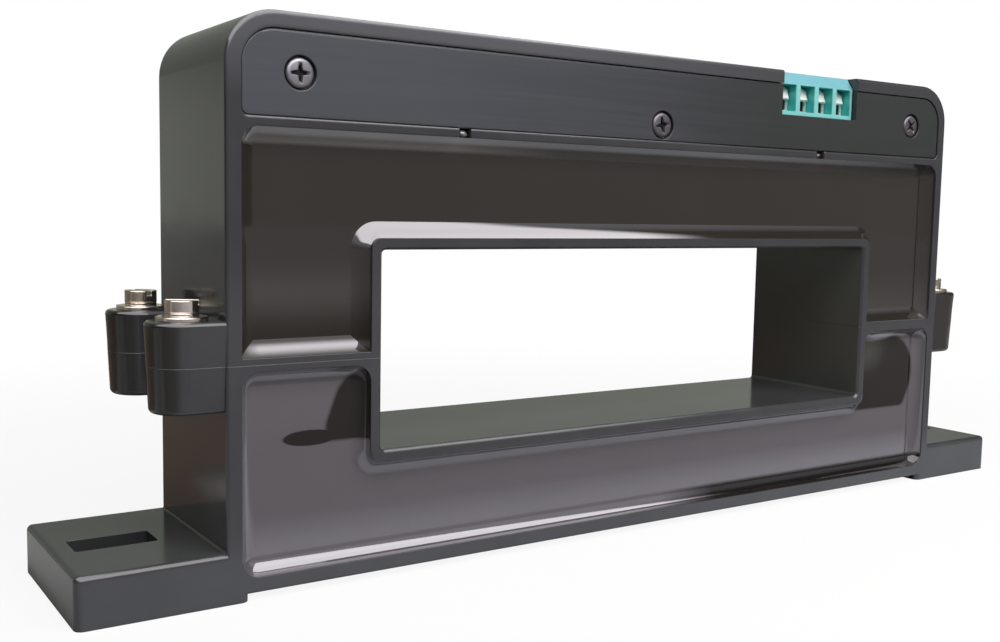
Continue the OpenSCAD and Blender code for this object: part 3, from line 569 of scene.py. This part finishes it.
# Epoxy packages of the chips: black, finely eroded, with tinned legs past the package's edge
chipLook = {
    "colors": ("#1d1d1f", "#2d2d2f"),
    "speck": 0.4,                      # mm
    "leg": "#c9c8c4",
    "roughness": (0.55, 0.25),         # of the package and of its legs
    # axis along which a node's legs stand out and their length in mm; a Hall element shows none
    "legs": {
        "amplifier_chip": ("Y", 0.9),
        "voltage_regulator": ("Y", 1.6),
        "hall_element_right": ("Z", -1.0),
    },
}


def chipMaterial(name, node):
    material, tree, shader, place = newMaterial("epoxyChip" + name)
    axis, length = chipLook["legs"][node]
    low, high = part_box(node)
    start = getattr(high, axis.lower()) / mm - length
    leg = inside(tree, axesOf(tree, place), (axis, start, start + 50))
    plastic, specks = mottle(tree, place, chipLook["speck"], 2, (0.4, 0.8), chipLook["colors"])
    rough = addNode(tree, "MapRange", {"Value": leg, "To Min": chipLook["roughness"][0],
                                       "To Max": chipLook["roughness"][1]})
    bump = addNode(tree, "Bump", {"Height": specks, "Strength": 0.3, "Distance": 0.03 * mm})
    feed(tree, shader, {"Base Color": paint(tree, plastic, (leg, chipLook["leg"])), "Metallic": leg,
                        "Roughness": rough, "Normal": bump})
    return material


# Board: glass-fibre laminate under green lacquer, the weave just showing
boardLook = {
    "color": "#1d6a3c",
    "thin": "#2f8250",                 # where the lacquer is thin over the weave
    "weave": 0.5,                      # mm
    "roughness": 0.28,
}
wavePeriod = 0.31                      # after which a wave texture of scale 1 repeats


def boardMaterial():
    material, tree, shader, place = newMaterial("lacqueredLaminate")
    scale = wavePeriod / (boardLook["weave"] * mm)
    wide, deep = (addNode(tree, "TexWave", {"Vector": place, "Scale": scale, "Distortion": 0.6}, "Fac",
                          bands_direction=axis) for axis in ("X", "Y"))
    weave = addNode(tree, "Math", {0: wide, 1: deep}, operation="MULTIPLY")
    bump = addNode(tree, "Bump", {"Height": weave, "Strength": 0.2, "Distance": 0.03 * mm})
    feed(tree, shader, {"Base Color": paint(tree, boardLook["color"], (weave, boardLook["thin"])),
                        "Roughness": boardLook["roughness"], "Normal": bump})
    return material


# Flat leads: three grey PVC cores side by side, ribbed along their run
leadLook = {
    "valley": "#8f8f93",
    "ridge": "#bcbcc0",
    "rib": 1.0,                        # mm
    "roughness": 0.5,
}


def leadMaterial():
    material, tree, shader, place = newMaterial("ribbonPvcGrey")
    ribs = addNode(tree, "TexWave", {"Vector": place, "Scale": wavePeriod / (leadLook["rib"] * mm),
                                     "Distortion": 0.1}, "Fac", bands_direction="Y")
    bump = addNode(tree, "Bump", {"Height": ribs, "Strength": 0.6, "Distance": 0.2 * mm})
    feed(tree, shader, {"Base Color": paint(tree, leadLook["valley"], (ribs, leadLook["ridge"])),
                        "Roughness": leadLook["roughness"], "Normal": bump})
    return material


# Small board parts, plastic below and bare metal above: colours of both, height of the change above the
# board (mm) and roughness
partLook = {
    "trimmer": ("#2556a8", "#d3cfc4", 4.25, 0.35),
    "can": ("#1b1b1d", "#c4c6c8", 0.8, 0.3),
}
partSpeck = 0.83                       # mm


def bandedMaterial(name, boardTop):
    plastic, metal, height, rough = partLook[name]
    material, tree, shader, place = newMaterial(name + "Body")
    start = boardTop / mm + height
    top = inside(tree, axesOf(tree, place), ("Z", start, start + 50))
    specks = addNode(tree, "TexNoise", {"Vector": place, "Scale": 1 / (partSpeck * mm), "Detail": 2})
    uneven = addNode(tree, "MapRange", {"Value": specks, "From Min": 0.3, "From Max": 0.7,
                                        "To Min": rough - 0.05, "To Max": rough + 0.1})
    bump = addNode(tree, "Bump", {"Height": specks, "Strength": 0.2, "Distance": 0.03 * mm})
    feed(tree, shader, {"Base Color": paint(tree, plastic, (top, metal)), "Metallic": top,
                        "Roughness": uneven, "Normal": bump})
    return material


# Signal resistors: ceramic slabs under brown glass, with tinned ends
resistorLook = {
    "colors": ("#5b3d24", "#8a6b4a"),
    "speck": 0.67,                     # mm
    "end": "#cbcac6",
    "endLength": 0.9,                  # mm
    "roughness": 0.3,
}


def resistorMaterial():
    look = resistorLook
    material, tree, shader, place = newMaterial("glazedResistor")
    low, high = (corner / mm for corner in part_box("signal_resistors"))
    body = inside(tree, axesOf(tree, place), ("Y", low.y + look["endLength"], high.y - look["endLength"]))
    glaze, specks = mottle(tree, place, look["speck"], 2, (0.0, 1.0), look["colors"])
    end = addNode(tree, "Math", {0: 1.0, 1: body}, operation="SUBTRACT")
    feed(tree, shader, {"Base Color": paint(tree, glaze, (end, look["end"])), "Metallic": end,
                        "Roughness": look["roughness"]})
    return material


def dress(material, *names):
    for name in names:
        mesh = nodes[name].data
        mesh.materials.clear()
        mesh.materials.append(material)


def everyLug(kind):
    return [f"{kind}_{side}_{end}" for side in ("left", "right") for end in ("front", "rear")]


def bothSides(name):
    return [f"{name}_{side}" for side in ("left", "right")]


dress(housingMaterial(), "upper_housing", "lower_housing")
dress(coverMaterial(), "terminal_cover")
dress(resinMaterial("upper"), "upper_potting")
dress(resinMaterial("lower"), "lower_potting")
dress(terminalMaterial(), "terminal_block")
print("plastics and resin dressed")
dress(metalMaterial("brightTin"), "terminal_clamps", "terminal_screws")
nickel = metalMaterial("warmNickel")
for kind in ("clamp_bolt", "spring_washer", "flat_washer"):
    dress(nickel, *everyLug(kind))
dress(metalMaterial("zincGrey"), "cover_screw_middle", *bothSides("cover_screw"))
dress(metalMaterial("turnedBrass"), *everyLug("thread_insert"))
print("metals dressed")
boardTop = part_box("circuit_board")[1].z
dress(coreMaterial(), "upper_core", "lower_core")
dress(chipMaterial("Amplifier", "amplifier_chip"), "amplifier_chip")
dress(chipMaterial("Regulator", "voltage_regulator"), "voltage_regulator")
dress(chipMaterial("Hall", "hall_element_right"), *bothSides("hall_element"))
dress(boardMaterial(), "circuit_board", *bothSides("hall_board"))
dress(leadMaterial(), *bothSides("hall_lead"))
dress(bandedMaterial("trimmer", boardTop), "gain_trimmer", "offset_trimmer")
dress(bandedMaterial("can", boardTop), *bothSides("smoothing_capacitor"))
dress(resistorMaterial(), "signal_resistors")
print("inner parts dressed")


def addPiece(name, shape, material, *replaced):
    # closes the mesh and faces it outward; the piece rides on the sensor, in place of any nodes named
    bmesh.ops.remove_doubles(shape, verts=shape.verts[:], dist=1e-6)
    bmesh.ops.recalc_face_normals(shape, faces=shape.faces[:])
    piece = bpy.data.objects.new(name, bpy.data.meshes.new(name))
    shape.to_mesh(piece.data)
    shape.free()
    piece.data.materials.append(material)
    for polygon in piece.data.polygons:
        polygon.use_smooth = True
    bpy.context.scene.collection.objects.link(piece)
    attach(piece, "root")
    if replaced:
        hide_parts(*replaced)
    return piece


# Contact leaves: a sprung strip of tinned bronze before each clamp, arched at its top, bent out at its foot
leaf = {
    "radius": 2.45,                    # mm, as the rest
    "drop": 1.2,                       # from the arch's middle to the foot
    "thick": 0.3,
    "rim": 0.35,                       # flat rim, round a face that stands out
    "swell": 0.22,                     # this much
    "lift": 1.9,                       # the arch's middle below the clamps' top
    "kick": 0.5,                       # how far the foot is bent out
    "poles": 4,
    "pitch": 7.62,
}


def addLeaves():
    shape = bmesh.new()
    low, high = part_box("terminal_clamps")
    middle, front = (low.x + high.x) / 2, low.y
    for pole in range(leaf["poles"]):
        before = set(shape.verts)
        radius = leaf["radius"] * mm
        verts = bmesh.ops.create_circle(shape, cap_ends=True, radius=radius, segments=40)["verts"]
        bmesh.ops.rotate(shape, verts=verts, cent=(0, 0, 0), matrix=Matrix.Rotation(math.radians(90), 3, "X"))
        # the lower half of the circle goes down to a straight foot
        for vert in verts:
            if vert.co.z < -1e-7:
                vert.co.z = -leaf["drop"] * mm
        block = bmesh.ops.extrude_face_region(shape, geom=verts[0].link_faces[:])["geom"]
        face = [item for item in block if isinstance(item, bmesh.types.BMFace)]
        moved = [item for item in block if isinstance(item, bmesh.types.BMVert)]
        bmesh.ops.translate(shape, verts=moved, vec=(0, -leaf["thick"] * mm, 0))
        bmesh.ops.inset_region(shape, faces=face, thickness=leaf["rim"] * mm, depth=0)
        bmesh.ops.translate(shape, verts=face[0].verts[:], vec=(0, -leaf["swell"] * mm, 0))
        every = [vert for vert in shape.verts if vert not in before]
        for vert in every:
            if vert.co.z < -0.5 * leaf["drop"] * mm:
                vert.co.y -= leaf["kick"] * mm
        x = middle + (pole - (leaf["poles"] - 1) / 2) * leaf["pitch"] * mm
        bmesh.ops.translate(shape, verts=every, vec=(x, front, high.z - leaf["lift"] * mm))
    addPiece("contactLeaves", shape, metalMaterial("paleLitTin"))


# Resin that crept up into each lead notch of the partition and set as a slumped drop
drop = {
    "size": (1.45, 1.9, 0.95),         # half sizes, mm
    "x": 60.0,                         # mm to either side,
    "z": 101.2,                        # and its height
    "sunk": 2.3,                       # mm behind the housing's front
    "slump": 0.25,                     # how far its front sinks,
    "lean": 0.3,                       # and how far it leans outward
}


def addDrops():
    for side, way in (("Left", -1), ("Right", 1)):
        shape = bmesh.new()
        bmesh.ops.create_uvsphere(shape, u_segments=32, v_segments=16, radius=1.0)
        for vert in shape.verts:
            front = max(0.0, -vert.co.y)
            vert.co.x += drop["lean"] * front * way * vert.co.z
            vert.co.z -= drop["slump"] * front * front
        bmesh.ops.scale(shape, verts=shape.verts[:], vec=[half * mm for half in drop["size"]])
        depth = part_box("upper_housing")[0].y + drop["sunk"] * mm
        bmesh.ops.translate(shape, verts=shape.verts[:], vec=(way * drop["x"] * mm, depth, drop["z"] * mm))
        addPiece("resinDrop" + side, shape, nodes["upper_potting"].data.materials[0])


# Cover screws: zinc-plated pan heads with a cross recess whose arms narrow outward
screw = {
    # radius and depth of each ring, from the flat top to the end of the shank, as the source has them; mm
    "crown": ((2.4, 0.0), (2.706, 0.061), (2.966, 0.234), (3.139, 0.494), (3.2, 0.8), (3.2, 1.8), (1.45, 1.8),
              (1.45, 13.0)),
    "tip": 0.32,                       # half width of an arm at its tip,
    "root": 0.62,                      # and where the arms meet
    "reach": 2.2,                      # length of an arm from the middle
    "depth": 1.1,
    "taper": 0.6,                      # size of the recess's floor against its mouth
    "turns": {"left": 2.0, "middle": 12.0, "right": 40.0},  # degrees
    "sharp": 40,                       # degrees from which an edge shows as sharp
}


def addRecess(shape):
    # a cross of four arms with three corners each, sunk and narrowed; gives the edges of its mouth
    tip, root, reach = screw["tip"], screw["root"], screw["reach"]
    cross = bmesh.ops.create_circle(shape, cap_ends=True, radius=1.0, segments=12)["verts"]
    for index, vert in enumerate(cross):
        corner = Vector(((root, -root, 0), (reach, -tip, 0), (reach, tip, 0))[index % 3])
        vert.co = Matrix.Rotation(math.radians(90 * (index // 3)), 3, "Z") @ corner
    mouth = shape.edges[:]
    sunk = bmesh.ops.extrude_face_region(shape, geom=shape.faces[:])["geom"]
    floor = [item for item in sunk if isinstance(item, bmesh.types.BMVert)]
    bmesh.ops.scale(shape, verts=floor, vec=(screw["taper"], screw["taper"], 1))
    bmesh.ops.translate(shape, verts=floor, vec=(0, 0, -screw["depth"]))
    lid = [face for face in shape.faces if all(vert in cross for vert in face.verts)]
    bmesh.ops.delete(shape, geom=lid, context="FACES_ONLY")
    return mouth


def addScrews():
    metal = nodes["cover_screw_left"].data.materials[0]
    for side, turn in screw["turns"].items():
        name = "cover_screw_" + side
        low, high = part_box(name)
        shape = bmesh.new()
        mouth = addRecess(shape)
        # round the recess the flat top, then the crown, turned ring by ring down to the shank
        radius, depth = screw["crown"][0]
        rim = set(bmesh.ops.create_circle(shape, radius=radius, segments=48)["verts"])
        last = [edge for edge in shape.edges if set(edge.verts) <= rim]
        bmesh.ops.triangle_fill(shape, edges=mouth + last, use_beauty=True, normal=(0, 0, 1))
        for nextRadius, nextDepth in screw["crown"][1:]:
            grown = bmesh.ops.extrude_edge_only(shape, edges=last)["geom"]
            last = [item for item in grown if isinstance(item, bmesh.types.BMEdge)]
            ring = [item for item in grown if isinstance(item, bmesh.types.BMVert)]
            bmesh.ops.scale(shape, verts=ring, vec=(nextRadius / radius, nextRadius / radius, 1))
            bmesh.ops.translate(shape, verts=ring, vec=(0, 0, depth - nextDepth))
            radius, depth = nextRadius, nextDepth
        bmesh.ops.contextual_create(shape, geom=last)
        bmesh.ops.scale(shape, verts=shape.verts[:], vec=(mm, mm, mm))
        turned = Matrix.Rotation(math.radians(90), 3, "X") @ Matrix.Rotation(math.radians(turn), 3, "Z")
        bmesh.ops.rotate(shape, verts=shape.verts[:], cent=(0, 0, 0), matrix=turned)
        head = ((low.x + high.x) / 2, low.y, (low.z + high.z) / 2)
        bmesh.ops.translate(shape, verts=shape.verts[:], vec=head)
        piece = addPiece("coverScrew" + side.capitalize(), shape, metal, name)
        piece.data.set_sharp_from_angle(angle=math.radians(screw["sharp"]))


addLeaves()
addDrops()
addScrews()
print("details added")
